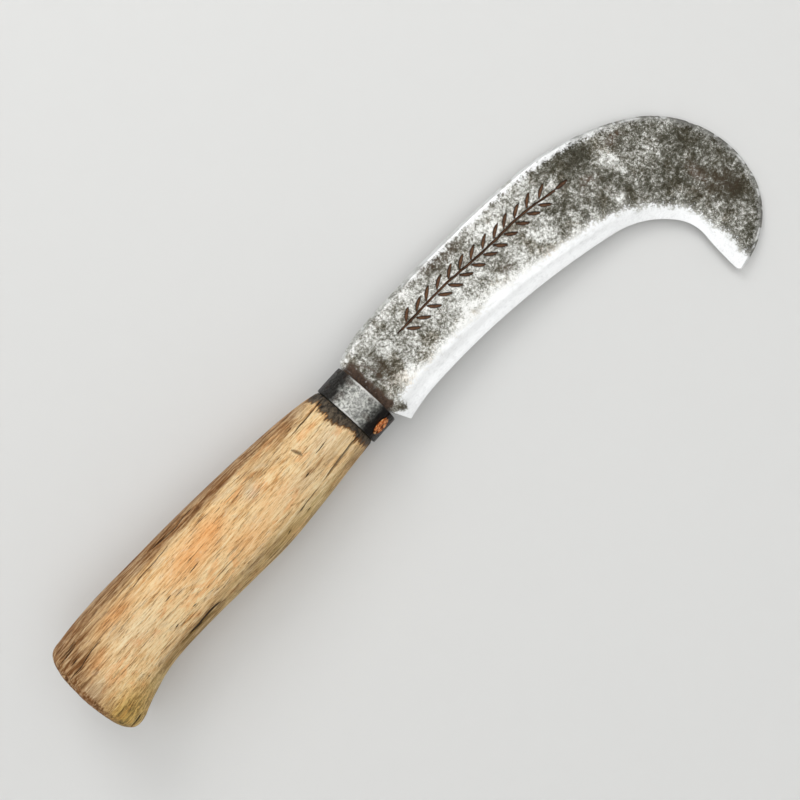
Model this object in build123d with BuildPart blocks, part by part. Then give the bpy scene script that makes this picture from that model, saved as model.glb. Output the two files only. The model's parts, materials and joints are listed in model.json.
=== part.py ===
from build123d import *
import os
from math import cos, radians, sin, sqrt

# A small hand billhook: a forged hooked blade on a round iron ferrule and a wooden grip.
# The tool lies on its side. +Z is up, +X runs along the tool towards the blade, and the
# origin is under the middle of the whole tool, on the surface that it rests on.
# Everything is drawn on the plane of the tool, which starts at the mouth of the ferrule:
# x towards the hook, y towards the spine, and the cutting edge on the -y side.

# Driving sizes of the blade, in millimetres
blade_length = 168.9        # mouth of the ferrule to the crown of the hook
spine_height = 18.7         # spine above the tool's axis
edge_depth = 17.5           # cutting edge below the axis, near the root
hook_drop = 76.4            # lowest point of the beak below the axis
root_thickness = 5.6
beak_thickness = 3.0
bevel_width = 8.0           # ground band on each side, where the blade is thickest
edge_land = 0.6             # thickness left along the worn cutting edge
back_land = 1.4             # thickness left square along the back
corner_width = 1.7          # corners hammered off the back, where the blade is thickest
shoulder_length = 3.6       # root rolling down from the flat side to the ferrule
shoulder_thickness = 4.2    # of the root where it meets the ferrule

# Driving sizes of the tang
tang_root_width = 13.0
tang_root_thickness = 3.6
tang_end_width = 6.4
tang_end_thickness = 3.2
head_diameter = 10.0        # tang's end peened over the rove
head_height = 1.5

# Driving sizes of the ferrule and its brazed seam
ferrule_diameter = 29.5
ferrule_length = 12.0
ferrule_wall = 1.8
ferrule_lip = 0.4           # outer corners filed off
seam_width = 2.2
bead_length = 8.0
bead_width = 5.0
bead_height = 0.6           # bead of brazing metal above the ferrule
seam_ridge = 0.25           # rest of the seam above the ferrule

# Driving sizes of the grip
handle_length = 143.2       # behind the ferrule
grip_height = 38.8          # from the spine side to the edge side, at mid grip
grip_thickness = 33.0
butt_dome_radius = 130.0
butt_bevel = 3.0            # corner of the butt taken off
butt_easing = 0.9           # both rims of that bevel taken off again
shoulder_step = 0.4         # wood behind the ferrule is this much lower than the iron
grip_bands = 36             # narrow bands that the grip is shaved to, from ferrule to flare

# Driving sizes of the rove, a washer let into the butt
rove_diameter = 17.0
rove_thickness = 1.6
rove_depth = 4.0            # recess, from the crown of the butt

# Clearances
root_gap = 0.3              # blade root to ferrule
ferrule_gap = 0.1           # around the wood inside the ferrule
tang_gap = 0.2              # around the tang
seam_gap = 0.05             # around the brazing metal
rove_gap = 0.4              # around the rove, in its recess
overrun = 4.0               # cuts run past the metal by this much

# Angles, in degrees
heel_rise = 11.4            # cutting edge's direction where it leaves the heel
beak_heading = -0.5         # outline's direction where it leaves the beak for the crown
seam_angle = 146.0          # seam around the ferrule, from the spine side
rest_swing = -7.0           # downhill direction of the tool at rest, from its own axis

half = 1 / 2
ferrule_radius = ferrule_diameter / 2
bore_radius = ferrule_radius - ferrule_wall

# Outline of the blade: places along the length and above or below the axis
edge_shares = [(0.026, 1.098), (0.129, 1.0)]
throat_shares = [(0.663, 0.392), (0.788, 0.593), (0.804, 0.75), (0.796, 0.982)]
crown_shares = [(0.802, 1.0), (0.9975, 0.633), (0.8775, 0.036)]
spine_shares = [(0.604, 0.762), (0.12, 1.0), (0.024, 0.885)]
root_top_share = 0.59
root_bottom_share = 0.57

edge_points = [(blade_length * along, -edge_depth * below) for along, below in edge_shares]
edge_points += [(blade_length * along, -hook_drop * below) for along, below in throat_shares]
back_points = [(blade_length * along, -hook_drop * below) for along, below in crown_shares]
back_points += [(blade_length * along, spine_height * above) for along, above in spine_shares]
root_top = (root_gap, spine_height * root_top_share)
root_bottom = (root_gap, -edge_depth * root_bottom_share)

# Oval sections of the grip: place behind the ferrule, rise of the centre, half height
# and half thickness
neck_radius = ferrule_radius - shoulder_step
grip_shares = [
    (0.0, 0.008, neck_radius / grip_height, neck_radius / grip_thickness),
    (0.082, 0.032, 0.411, 0.455),
    (0.204, 0.044, 0.456, 0.479),
    (0.356, 0.058, 0.494, 0.497),
    (0.509, 0.094, 0.496, 0.500),
    (0.662, 0.124, 0.491, 0.497),
    (0.794, 0.131, 0.500, 0.497),
    (0.896, 0.084, 0.537, 0.512),
    (0.957, 0.034, 0.567, 0.527),
    (1.04, 0.015, 0.580, 0.535),
]
shaved_share = 0.94         # the last band runs from here past the crown of the butt


def direction(angle):
    """A unit vector in the plane of the tool."""
    return Vector(cos(radians(angle)), sin(radians(angle)))


def tangent_arcs(points, heading):
    """A smooth chain of arcs through the points, leaving the first one along the heading."""
    arcs = []
    for start, end in zip(points, points[1:]):
        arcs.append(TangentArc(start, end, tangent=heading))
        heading = arcs[-1] % 1
    return arcs


# Outline of the blade, seen from its flat side
with BuildSketch() as blade_outline:
    with BuildLine():
        edge_arcs = tangent_arcs(edge_points, direction(heel_rise))
        Line(edge_points[-1], back_points[0])
        back_arcs = tangent_arcs(back_points, direction(beak_heading))
        TangentArc(back_points[-1], root_top, tangent=back_arcs[-1] % 1)
        Line(root_top, root_bottom)
        Line(root_bottom, edge_points[0])
    make_face()

# The tool rests on the front rim of its ferrule and on the crown of its hook. Both touch
# the surface when the plane of the tool drops this much for each millimetre downhill.
downhill = direction(rest_swing)
crown_reach = blade_outline.sketch.rotate(Axis.Z, -rest_swing).bounding_box().max.X
crown_corner = corner_width * (beak_thickness - back_land) / (root_thickness - back_land)
rest_span = crown_reach - crown_corner + ferrule_lip * downhill.X
fall = (ferrule_radius - beak_thickness * half) / rest_span
floor_normal = Vector(-downhill.X * fall, -downhill.Y * fall, 1).normalized()

# Axes of the resting frame, seen from the tool, turned into axes of the tool in that frame
floor_x = (Vector(1, 0, 0) - floor_normal * floor_normal.X).normalized()
floor_y = floor_normal.cross(floor_x)
tool_x = Vector(floor_x.X, floor_y.X, floor_normal.X)
tool_z = Vector(floor_x.Z, floor_y.Z, floor_normal.Z)

# The middle of the tool's reach, from the crown of the butt to the crown of the hook and
# from the top of the grip to the beak
dome_centre_x = butt_dome_radius - ferrule_length - handle_length
reach_front = blade_length * tool_x.X
reach_back = butt_dome_radius - dome_centre_x * tool_x.X
grip_top = max((rise + high) * grip_height for place, rise, high, thick in grip_shares)
mouth_height = ferrule_radius * sqrt(1 - tool_x.Z ** 2) + ferrule_lip * tool_x.Z
tool = Plane(
    origin=((reach_back - reach_front) * half, (hook_drop - grip_top) * half, mouth_height),
    x_dir=tool_x,
    z_dir=tool_z,
)


def across(x, y=0.0):
    """The plane square to the tool's axis: its x is the tool's y, its y the tool's z."""
    return Plane(origin=tool.from_local_coords((x, y, 0)), x_dir=tool.y_dir, z_dir=tool.x_dir)


def beside(arcs, inset):
    """A chain of arcs moved into the blade by the inset, run straight on past both ends."""
    def moved(arc, share):
        return arc @ share + (arc % share).rotate(Axis.Z, 90) * inset

    first, last = arcs[0], arcs[-1]
    start = moved(first, 0) - (first % 0) * overrun
    end = moved(last, 1) + (last % 1) * overrun
    Line(start, moved(first, 0))
    for arc in arcs:
        ThreePointArc(moved(arc, 0), moved(arc, half), moved(arc, 1))
    Line(moved(last, 1), end)
    return start, end


def trimmed_outline(arcs, inset):
    """What is taken off along the arcs: from the inset outwards, past the metal."""
    inner_start, inner_end = beside(arcs, inset)
    outer_start, outer_end = beside(arcs, -overrun)
    Line(inner_start, outer_start)
    Line(inner_end, outer_end)


# Metal ground off both sides of the edge, and hammered off both corners of the back. Each
# slope runs from the full thickness down to the land that is left at the outline.
slopes = []
for arcs, width, land in ((edge_arcs, bevel_width, edge_land), (back_arcs, corner_width, back_land)):
    run = width / (root_thickness - land)
    with BuildPart() as slope_cut:
        with BuildSketch(tool):
            with BuildLine():
                trimmed_outline(arcs, -land * run)
            make_face()
        with BuildSketch(tool.offset(root_thickness)):
            with BuildLine():
                trimmed_outline(arcs, (root_thickness * 2 - land) * run)
            make_face()
        loft(ruled=True)
        mirror(about=tool)
    slopes.append(slope_cut.part)

# The flat sides lean in towards the hook by this much for each millimetre
shoulder_end = root_gap + shoulder_length
taper = (root_thickness - beak_thickness) * half / (blade_length - shoulder_end)


def tang_size(place, gap):
    """Width and thickness of the tapering tang, from 0 at its root to 1 at its end."""
    width = tang_root_width + (tang_end_width - tang_root_width) * place
    thickness = tang_root_thickness + (tang_end_thickness - tang_root_thickness) * place
    return width + gap * 2, thickness + gap * 2


# The butt, seen along the tool
butt_x = -ferrule_length - handle_length
recess_x = butt_x + rove_depth
head_x = recess_x - rove_thickness
tang_start = shoulder_length

# Blade, shoulder and tang are one forging
with BuildPart() as blade:
    with BuildSketch(tool):
        add(blade_outline.sketch)
    extrude(amount=root_thickness, both=True)
    # seen from the edge side: a rolled shoulder, then flat sides that taper to the hook
    with BuildSketch(Plane(origin=tool.origin, x_dir=tool.x_dir, z_dir=-tool.y_dir)):
        with BuildLine():
            shoulder_top = (shoulder_end, root_thickness * half)
            shoulder_foot = (root_gap, shoulder_thickness * half)
            crown_top = (blade_length + overrun, beak_thickness * half - taper * overrun)
            Line((root_gap, 0), shoulder_foot)
            TangentArc(shoulder_top, shoulder_foot, tangent=(-1, taper))
            Polyline(shoulder_top, crown_top, (blade_length + overrun, 0))
            mirror(about=Plane.XZ)
        make_face()
    extrude(amount=hook_drop * 2, both=True, mode=Mode.INTERSECT)
    for slope in slopes:
        add(slope, mode=Mode.SUBTRACT)
    with BuildSketch(across(tang_start)):
        Rectangle(*tang_size(0, 0))
    with BuildSketch(across(head_x - head_height * half)):
        Rectangle(*tang_size(1, 0))
    loft(ruled=True)
    with BuildSketch(across(head_x)):
        Circle(head_diameter * half)
    extrude(amount=-head_height)
    head_rim = blade.edges().filter_by(GeomType.CIRCLE).sort_by(Axis(tool.origin, tool.x_dir))[0]
    fillet(head_rim, head_height * half)
blade.part.label = "blade"

# Seam plane: x back along the ferrule, z straight out of the seam
seam_out = tool.y_dir * cos(radians(seam_angle)) + tool.z_dir * sin(radians(seam_angle))
seam = Plane(
    origin=tool.from_local_coords((-ferrule_length * half, 0, 0)),
    x_dir=-tool.x_dir,
    z_dir=seam_out,
)

# The ferrule is a strip of iron rolled round, open at its seam
with BuildPart() as ferrule:
    with BuildSketch(across(0)):
        Circle(ferrule_radius)
        Circle(bore_radius, mode=Mode.SUBTRACT)
    extrude(amount=-ferrule_length)
    rims = ferrule.edges().filter_by(GeomType.CIRCLE).sort_by(SortBy.RADIUS)[-2:]
    chamfer(rims, ferrule_lip)
    with BuildSketch(seam.offset(bore_radius * half)):
        Rectangle(ferrule_length + overrun, seam_width)
    extrude(amount=ferrule_radius, mode=Mode.SUBTRACT)
ferrule.part.label = "ferrule"

# Brazing metal fills the seam and stands on it as a long bead
with BuildPart() as ferrule_braze:
    with BuildSketch(seam.offset(bore_radius)):
        Ellipse(bead_length * half, bead_width * half)
    extrude(amount=ferrule_wall + bead_height)
    bead_top = ferrule_braze.faces().sort_by(Axis(seam.origin, seam_out))[-1]
    chamfer(bead_top.edges(), bead_height * half)
    with BuildSketch(across(overrun)):
        Circle(ferrule_radius + seam_gap)
    extrude(amount=-ferrule_length - overrun * 2, mode=Mode.SUBTRACT)
    with BuildSketch(seam.offset(bore_radius)):
        Rectangle(ferrule_length, seam_width - seam_gap * 2)
    extrude(amount=ferrule_wall + seam_ridge)
ferrule_braze.part.label = "ferrule_braze"


def oval_at(place):
    """Rise, half height and half thickness of the grip at a place, smooth between sections."""
    later = next(i for i, section in enumerate(grip_shares) if section[0] >= place and i)
    before, start = grip_shares[max(later - 2, 0)], grip_shares[later - 1]
    end, after = grip_shares[later], grip_shares[min(later + 1, len(grip_shares) - 1)]
    span = end[0] - start[0]
    t = (place - start[0]) / span
    sizes = []
    for a, b, c, d in zip(before[1:], start[1:], end[1:], after[1:]):
        leaving = (c - a) / (end[0] - before[0]) * span
        arriving = (d - b) / (after[0] - start[0]) * span
        eased = t * t * (3 - 2 * t)
        sizes.append(b + (c - b) * eased + (leaving * (1 - t) - arriving * t) * t * (1 - t))
    return sizes


# The grip: ovals that drift off the axis and flare at the butt, with shaved bands between
with BuildPart() as handle:
    band_places = [shaved_share * band / grip_bands for band in range(grip_bands + 1)]
    for place in band_places + [grip_shares[-1][0]]:
        rise, high, thick = oval_at(place)
        with BuildSketch(across(-ferrule_length - handle_length * place, grip_height * rise)):
            Ellipse(grip_height * high, grip_thickness * thick)
    loft(ruled=True)
    dome_centre = tool.from_local_coords((dome_centre_x, 0, 0))
    with Locations(dome_centre):
        Sphere(butt_dome_radius, mode=Mode.INTERSECT)
    butt_face = handle.faces().sort_by(Axis(tool.origin, tool.x_dir))[0]
    chamfer(butt_face.edges(), butt_bevel)
    bevel_rims = handle.edges(Select.LAST).filter_by(lambda rim: rim.length > butt_bevel * 2)
    chamfer(bevel_rims, butt_easing)
    with BuildSketch(across(-ferrule_length)):
        Circle(bore_radius - ferrule_gap)
    extrude(amount=ferrule_length)
    with BuildSketch(across(tang_start)):
        Rectangle(*tang_size(0, tang_gap))
    with BuildSketch(across(head_x - head_height * half)):
        Rectangle(*tang_size(1, tang_gap))
    loft(ruled=True, mode=Mode.SUBTRACT)
    with BuildSketch(across(recess_x)):
        Circle(rove_diameter * half + rove_gap)
    extrude(amount=-rove_depth - overrun, mode=Mode.SUBTRACT)
handle.part.label = "handle"

# The rove, a washer that the tang's end is peened over
with BuildPart() as tang_rove:
    with BuildSketch(across(recess_x)):
        Circle(rove_diameter * half)
        Rectangle(*tang_size(1, tang_gap), mode=Mode.SUBTRACT)
    extrude(amount=-rove_thickness)
tang_rove.part.label = "tang_rove"

os.makedirs("parts", exist_ok=True)
export_step(blade.part, "parts/blade.step")
export_step(ferrule.part, "parts/ferrule.step")
export_step(ferrule_braze.part, "parts/ferrule_braze.step")
export_step(handle.part, "parts/handle.step")
export_step(tang_rove.part, "parts/tang_rove.step")
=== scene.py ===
import json
from math import cos, pi, radians, sin, tan

import bpy
import numpy as np
from mathutils import Matrix, Vector
from mathutils.bvhtree import BVHTree


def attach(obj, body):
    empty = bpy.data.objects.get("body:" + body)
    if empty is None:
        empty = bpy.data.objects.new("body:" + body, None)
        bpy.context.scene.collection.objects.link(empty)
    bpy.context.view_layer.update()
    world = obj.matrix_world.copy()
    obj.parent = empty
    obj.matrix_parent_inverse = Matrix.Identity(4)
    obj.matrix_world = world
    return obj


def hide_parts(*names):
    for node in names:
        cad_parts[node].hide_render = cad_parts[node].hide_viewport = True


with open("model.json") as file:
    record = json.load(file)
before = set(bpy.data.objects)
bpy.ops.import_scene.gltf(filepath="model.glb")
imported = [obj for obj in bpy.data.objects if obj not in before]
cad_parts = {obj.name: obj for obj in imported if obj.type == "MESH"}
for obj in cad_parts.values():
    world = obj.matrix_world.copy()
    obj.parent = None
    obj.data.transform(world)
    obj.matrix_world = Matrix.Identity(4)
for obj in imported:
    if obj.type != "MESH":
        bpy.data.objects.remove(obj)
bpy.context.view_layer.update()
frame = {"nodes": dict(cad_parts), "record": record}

# ---- The tool's own frame: x from the mouth of the ferrule towards the hook, y towards the
# spine, z out of the side that faces up. Pieces are drawn in it, in millimetres.

MM = 0.001
mounts = {mount["name"]: mount for mount in frame["record"]["mounts"]}
tool_x = -Vector(mounts["grip"]["axis"]).normalized()
tool_y = (-Vector(mounts["blade_side"]["axis"])).cross(tool_x).normalized()
tool_z = tool_x.cross(tool_y)
AXES = np.array((tool_x, tool_y, tool_z))


def node_points(node):
    """A CAD node's points, in metres from the row's origin."""
    return np.array([vertex.co for vertex in frame["nodes"][node].data.vertices])


ferrule_points = node_points("ferrule") @ AXES.T
low, high = ferrule_points.min(0), ferrule_points.max(0)
MOUTH = np.append(high[:1], (low[1:] + high[1:]) / 2)
FERRULE_LENGTH = (high[0] - low[0]) / MM
FERRULE_RADIUS = (high[2] - low[2]) / 2 / MM


def to_row(points):
    """Points in the tool's frame, in millimetres, as points of the row, in metres."""
    return (np.asarray(points, float) * MM + MOUTH) @ AXES


def to_tool(points):
    """Points of the row, in metres, as points in the tool's frame, in millimetres."""
    return (np.asarray(points, float) @ AXES.T - MOUTH) / MM


# ---- Noise and small curves, all on arrays

LATTICE_SIDE = 48
LATTICE = np.random.default_rng(11).random((LATTICE_SIDE,) * 3)


def noise(points, lump, shift=0.0):
    """Smooth noise from -1 to 1. lump is the size of one lump along each axis."""
    place = points / np.asarray(lump, float) + shift
    cell = np.floor(place).astype(int)
    part = place - cell
    part = part * part * (3 - 2 * part)
    low, high = cell % LATTICE_SIDE, (cell + 1) % LATTICE_SIDE
    value = 0.0
    for corner in range(8):
        picks, weight = [], 1.0
        for axis in range(3):
            upper = corner >> axis & 1
            picks.append((high if upper else low)[..., axis])
            weight = weight * (part[..., axis] if upper else 1 - part[..., axis])
        value = value + weight * LATTICE[picks[0], picks[1], picks[2]]
    return value * 2 - 1


def step(low, high, value):
    """From 0 at low to 1 at high, smoothly."""
    part = np.clip((value - low) / (high - low), 0, 1)
    return part * part * (3 - 2 * part)


def softer_min(first, second, reach):
    """The smaller of two values, rounded where they are within reach of each other."""
    near = np.clip(1 - np.abs(first - second) / reach, 0, 1)
    return np.minimum(first, second) - near * near * reach / 4


def lengths_along(line):
    """The distance along a line at each of its points."""
    return np.append(0, np.cumsum(np.linalg.norm(np.diff(line, axis=0), axis=1)))


def spread(line, shares):
    """Points of a line at shares of its length."""
    along = lengths_along(line)
    wanted = np.asarray(shares) * along[-1]
    return np.stack([np.interp(wanted, along, line[:, k]) for k in range(line.shape[1])], -1)


def smooth_through(points, count):
    """A smooth line through points, by cubic pieces between neighbours."""
    points = np.asarray(points, float)
    padded = np.vstack([2 * points[0] - points[1], points, 2 * points[-1] - points[-2]])
    place = np.linspace(0, len(points) - 1, count)
    k = np.minimum(place.astype(int), len(points) - 2)
    t = (place - k)[:, None]
    a, b, c, d = (padded[k + shift] for shift in range(4))
    return (b * 2 + (c - a) * t + (a * 2 - b * 5 + c * 4 - d) * t * t
            + (b * 3 - a - c * 3 + d) * t ** 3) / 2


def on_line(places):
    """Places along one line as points, for noise that runs along it."""
    return np.column_stack([places, places * 0, places * 0])


def circle(count):
    """Angles once round."""
    return np.arange(count) / count * 2 * pi


def ring(x, reach, angle):
    """Points at x along the tool's axis, as far out from it as reach."""
    return np.stack(np.broadcast_arrays(x, reach * np.cos(angle), reach * np.sin(angle)), -1)


def box_reach(half_width, half_thick, angle):
    """How far out a rectangle's sides are, at each angle round its centre."""
    return np.minimum(half_width / np.maximum(np.abs(np.cos(angle)), 1e-9),
                      half_thick / np.maximum(np.abs(np.sin(angle)), 1e-9))


def ovals(points, *spots):
    """Soft oval patches, added up: x, y, half length, half height, strength and, where they
    are turned, how many degrees."""
    total = np.zeros(len(points))
    for x, y, long, high, much, *degrees in spots:
        turn = radians(sum(degrees))
        c, s = cos(turn), sin(turn)
        u, v = ((points[:, :2] - (x, y)) @ np.array([(c, -s), (s, c)])).T
        total += much * np.exp(-(u / long) ** 2 - (v / high) ** 2)
    return total


def nearest_on(line, points):
    """How far points lie from a line in the plane, and how far along it they are nearest."""
    along = lengths_along(line)
    start, run = line[:-1], np.diff(line, axis=0)
    size = (run * run).sum(1)
    far, place = np.empty(len(points)), np.empty(len(points))
    for first in range(0, len(points), 4000):
        chunk = points[first:first + 4000, None]
        share = np.clip(((chunk - start) * run).sum(-1) / size, 0, 1)
        gap = np.linalg.norm(chunk - start - share[..., None] * run, axis=-1)
        best = gap.argmin(1)
        rows = np.arange(len(best))
        far[first:first + 4000] = gap[rows, best]
        place[first:first + 4000] = along[best] + share[rows, best] * np.sqrt(size[best])
    return far, place


def tangent_arcs(points, heading, steps):
    """A chain of arcs through points, each tangent to the one before, as one line."""
    line = [np.asarray(points[0], float)]
    heading = np.asarray(heading, float)
    for end in points[1:]:
        start = line[-1]
        chord = np.asarray(end, float) - start
        side = heading[0] * chord[1] - heading[1] * chord[0]
        turn = 2 * np.arctan2(side, heading @ chord)
        radius = chord @ chord / (2 * side)
        normal = np.array([-heading[1], heading[0]])
        for share in np.arange(1, steps + 1) / steps:
            angle = turn * share
            line.append(start + radius * (np.sin(angle) * heading + (1 - np.cos(angle)) * normal))
        heading = np.cos(turn) * heading + np.sin(turn) * normal
    return np.array(line)


# ---- Meshes

def quads(rows, columns, closed_rows=False, closed_columns=False):
    """Faces of a grid of points, rows by columns."""
    row = np.arange(rows if closed_rows else rows - 1)[:, None]
    column = np.arange(columns if closed_columns else columns - 1)[None, :]
    next_row, next_column = (row + 1) % rows, (column + 1) % columns
    corners = (row * columns + column, next_row * columns + column,
               next_row * columns + next_column, row * columns + next_column)
    return np.stack(corners, -1).reshape(-1, 4).tolist()


def turned(faces):
    """The same faces, looking the other way."""
    return [face[::-1] for face in faces]


def padded(count, **marks):
    """Marks made count values long. Each is its values and the one that fills up the rest."""
    return {name: np.append(values, np.full(count - len(values), fill)) for name, (values, fill) in marks.items()}


def placed(name, data):
    """A new object in the scene."""
    made = bpy.data.objects.new(name, data)
    bpy.context.scene.collection.objects.link(made)
    return made


def piece(name, points, faces, material, node, slot, sharp, **marks):
    """A mesh piece from points in the tool's frame. Each mark is a value at every point,
    which the piece's material reads under that name."""
    mesh = bpy.data.meshes.new(name)
    mesh.from_pydata(to_row(points).tolist(), [], faces)
    mesh.polygons.foreach_set("use_smooth", np.ones(len(mesh.polygons), bool))
    mesh.set_sharp_from_angle(angle=radians(sharp))
    spot = mesh.attributes.new("spot", "FLOAT_VECTOR", "POINT")
    spot.data.foreach_set("vector", np.asarray(points, np.float32).ravel())
    for mark, values in marks.items():
        attribute = mesh.attributes.new(mark, "FLOAT", "POINT")
        attribute.data.foreach_set("value", np.asarray(values, np.float32).ravel())
    mesh.materials.append(material)
    mesh.validate()
    made = placed(name, mesh)
    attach(made, "root")
    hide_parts(node)


# ---- Materials, written as short chains of nodes

class Paint:
    """A material whose nodes are added one call at a time. Each call returns a socket."""

    def __init__(self, name):
        self.material = bpy.data.materials.new(name)
        self.material.use_nodes = True
        self.nodes = self.material.node_tree.nodes
        self.links = self.material.node_tree.links
        self.shader = next(n for n in self.nodes if n.type == "BSDF_PRINCIPLED")

    def put(self, socket, value):
        if isinstance(value, bpy.types.NodeSocket):
            self.links.new(value, socket)
        elif isinstance(value, tuple) and len(socket.default_value) == 4:
            socket.default_value = (*value, 1)
        else:
            socket.default_value = value

    def add(self, kind, output, inputs, **settings):
        """A new node with its inputs, by name or number, and its settings."""
        node = self.nodes.new("ShaderNode" + kind)
        for name, setting in settings.items():
            setattr(node, name, setting)
        for name, value in inputs.items():
            self.put(node.inputs[name], value)
        return node.outputs[output]

    def mark(self, name, output="Fac"):
        """A value that the piece carries at each point."""
        return self.add("Attribute", output, {}, attribute_name=name)

    def marks(self, *names):
        return [self.mark(name) for name in names]

    def spot(self, stretch=(1, 1, 1)):
        """The place in the tool's frame, in millimetres, times a stretch along each axis."""
        inputs = {0: self.mark("spot", "Vector"), 1: stretch}
        return self.add("VectorMath", "Vector", inputs, operation="MULTIPLY")

    def noise(self, place, scale, detail, rough, warp=0.0):
        inputs = {"Vector": place, "Scale": scale, "Detail": detail, "Roughness": rough, "Distortion": warp}
        return self.add("TexNoise", "Fac", inputs)

    def math(self, operation, first, second, clamp=False):
        return self.add("Math", 0, {0: first, 1: second}, operation=operation, use_clamp=clamp)

    def times(self, first, second, clamp=False):
        return self.math("MULTIPLY", first, second, clamp)

    def total(self, start, *terms):
        """Values added to a start, each times its weight."""
        for value, weight in terms:
            start = self.add("Math", 0, {0: value, 1: weight, 2: start}, operation="MULTIPLY_ADD")
        return start

    def span(self, value, low, high, to_low=0.0, to_high=1.0):
        """The value's share of the way from low to high, smoothed, from to_low to to_high."""
        inputs = {"Value": value, "From Min": low, "From Max": high, "To Min": to_low, "To Max": to_high}
        return self.add("MapRange", "Result", inputs, interpolation_type="SMOOTHSTEP")

    def mix(self, share, first, second, blend="MIX"):
        return self.add("Mix", 2, {"Factor": share, 6: first, 7: second}, data_type="RGBA", blend_type=blend)

    def bump(self, height, distance, strength, **under):
        return self.add("Bump", "Normal", {"Height": height, "Distance": distance, "Strength": strength, **under})

    def ramp(self, value, *stops):
        node = self.nodes.new("ShaderNodeValToRGB")
        elements = node.color_ramp.elements
        while len(elements) < len(stops):
            elements.new(0.5)
        for element, (place, colour) in zip(elements, stops):
            element.position = place
            element.color = (*colour, 1)
        self.put(node.inputs["Fac"], value)
        return node.outputs["Color"]

    def finish(self, **sockets):
        for name, value in sockets.items():
            self.put(self.shader.inputs[name.replace("_", " ")], value)
        return self.material


def srgb(red, green, blue):
    """A colour as a screen shows it, from 0 to 255, as the linear values that shaders take."""
    return tuple(((c / 255 + 0.055) / 1.055) ** 2.4 if c > 10 else c / 3295 for c in (red, green, blue))


def steel_paint():
    paint = Paint("forged_steel")
    place = paint.spot()
    band, back, age, groove, rust, shoulder = paint.marks("band", "back", "age", "groove", "rust", "shoulder")

    # patina in islands of several sizes, with bare bright specks between them
    broad = paint.noise(place, 0.10, 4, 0.6)
    islands = paint.noise(place, 0.27, 9, 0.82, 0.6)
    specks = paint.noise(place, 0.85, 5, 0.76)
    grit = paint.noise(place, 3.4, 3, 0.7)
    cover = paint.total(-1.285, (islands, 1.2), (specks, 1.0), (grit, 0.5), (broad, 0.35), (age, 0.5))
    patina = paint.ramp(
        cover,
        (0.26, srgb(246, 246, 243)),
        (0.38, srgb(208, 208, 203)),
        (0.44, srgb(182, 181, 174)),
        (0.48, srgb(150, 149, 141)),
        (0.55, srgb(126, 124, 115)),
        (0.60, srgb(98, 96, 86)),
        (0.80, srgb(64, 62, 52)),
    )
    brown = paint.span(paint.total(0.0, (broad, 0.5), (islands, 0.5)), 0.5, 0.6)
    patina = paint.mix(paint.times(brown, 0.4), patina, srgb(232, 214, 190), "MULTIPLY")
    stain = paint.times(rust, paint.span(paint.total(0.0, (islands, 0.6), (specks, 0.4)), 0.42, 0.56))
    patina = paint.mix(stain, patina, srgb(96, 70, 54))

    # the ground band along the edge, with patina biting into its upper border
    ragged = paint.total(-12.5, (specks, 13.0), (islands, 12.0))
    ground = paint.span(paint.math("ADD", band, ragged), -0.5, 1.1)
    scratches = paint.noise(paint.spot((0.25, 1.6, 1.6)), 2.2, 3, 0.6)
    bright = paint.ramp(paint.total(0.0, (scratches, 0.4), (islands, 0.6)),
                        (0.36, srgb(216, 217, 217)), (0.52, srgb(238, 239, 239)))
    spine = paint.span(paint.total(-8.5, (back, 1.0), (specks, 9.0), (islands, 8.0)), 3.5, 1.6)
    bare = paint.math("MAXIMUM", ground, paint.times(spine, paint.mark("rubbed")))
    colour = paint.mix(bare, patina, bright)

    # the rolled shoulder keeps its brown scale, and the engraved grooves their rust
    scale_tone = paint.ramp(specks, (0.36, srgb(54, 40, 32)), (0.62, srgb(104, 84, 70)))
    held = paint.times(shoulder, paint.span(paint.total(0.0, (specks, 0.5), (islands, 0.5)), 0.36, 0.46))
    colour = paint.mix(held, colour, scale_tone)
    groove_tone = paint.mix(paint.span(groove, 0.45, 1.0), srgb(48, 33, 24),
                            paint.ramp(specks, (0.36, srgb(74, 50, 34)), (0.6, srgb(120, 86, 60))))
    colour = paint.mix(paint.span(groove, 0.04, 0.4), colour, groove_tone)

    dull = paint.math("MAXIMUM", paint.span(groove, 0.04, 0.4), paint.math("MAXIMUM", shoulder, rust))
    metallic = paint.total(1.0, (dull, -0.5))
    rough = paint.total(0.34, (paint.span(cover, 0.3, 0.75), 0.2), (dull, 0.16), (bare, -0.04))
    scale = paint.total(-1.05, (islands, 0.6), (specks, 1.0), (grit, 0.5))
    scale = paint.times(paint.total(1.0, (bare, -0.92)), scale)
    surface = paint.bump(scale, 0.00026, 0.8)
    surface = paint.bump(scratches, 0.00002, 0.4, Normal=surface)
    return paint.finish(Base_Color=colour, Metallic=metallic, Roughness=rough, Normal=surface)


def iron_paint(name, low, high):
    """Worn dark iron, speckled and pitted, darker where it is sooty and where shade is painted on, lighter where
    a highlight is painted on.
    """
    paint = Paint(name)
    place = paint.spot()
    fine, middle = paint.noise(place, 0.95, 5, 0.72), paint.noise(place, 0.4, 5, 0.65)
    tone = paint.ramp(
        paint.total(0.0, (fine, 0.75), (middle, 0.25)),
        (0.40, low),
        (0.50, tuple((a + b) / 2.5 for a, b in zip(low, high))),
        (0.59, high),
    )
    # lighter where rubbed bare, and along the ferrule's middle as a painted highlight
    tone = paint.mix(paint.times(paint.mark("worn"), 0.85), tone, srgb(222, 221, 217))
    # darker where sooty, and on the ferrule's sides as painted shade
    tone = paint.mix(paint.mark("soot"), tone, srgb(30, 27, 25))
    tone = paint.mix(paint.mark("rust"), tone, srgb(62, 42, 31))
    rough = paint.span(fine, 0.36, 0.62, 0.5, 0.32)
    surface = paint.bump(paint.total(0.0, (fine, 1.0), (middle, 0.6)), 0.00032, 0.9)
    return paint.finish(Base_Color=tone, Metallic=0.92, Roughness=rough, Normal=surface)


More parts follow.
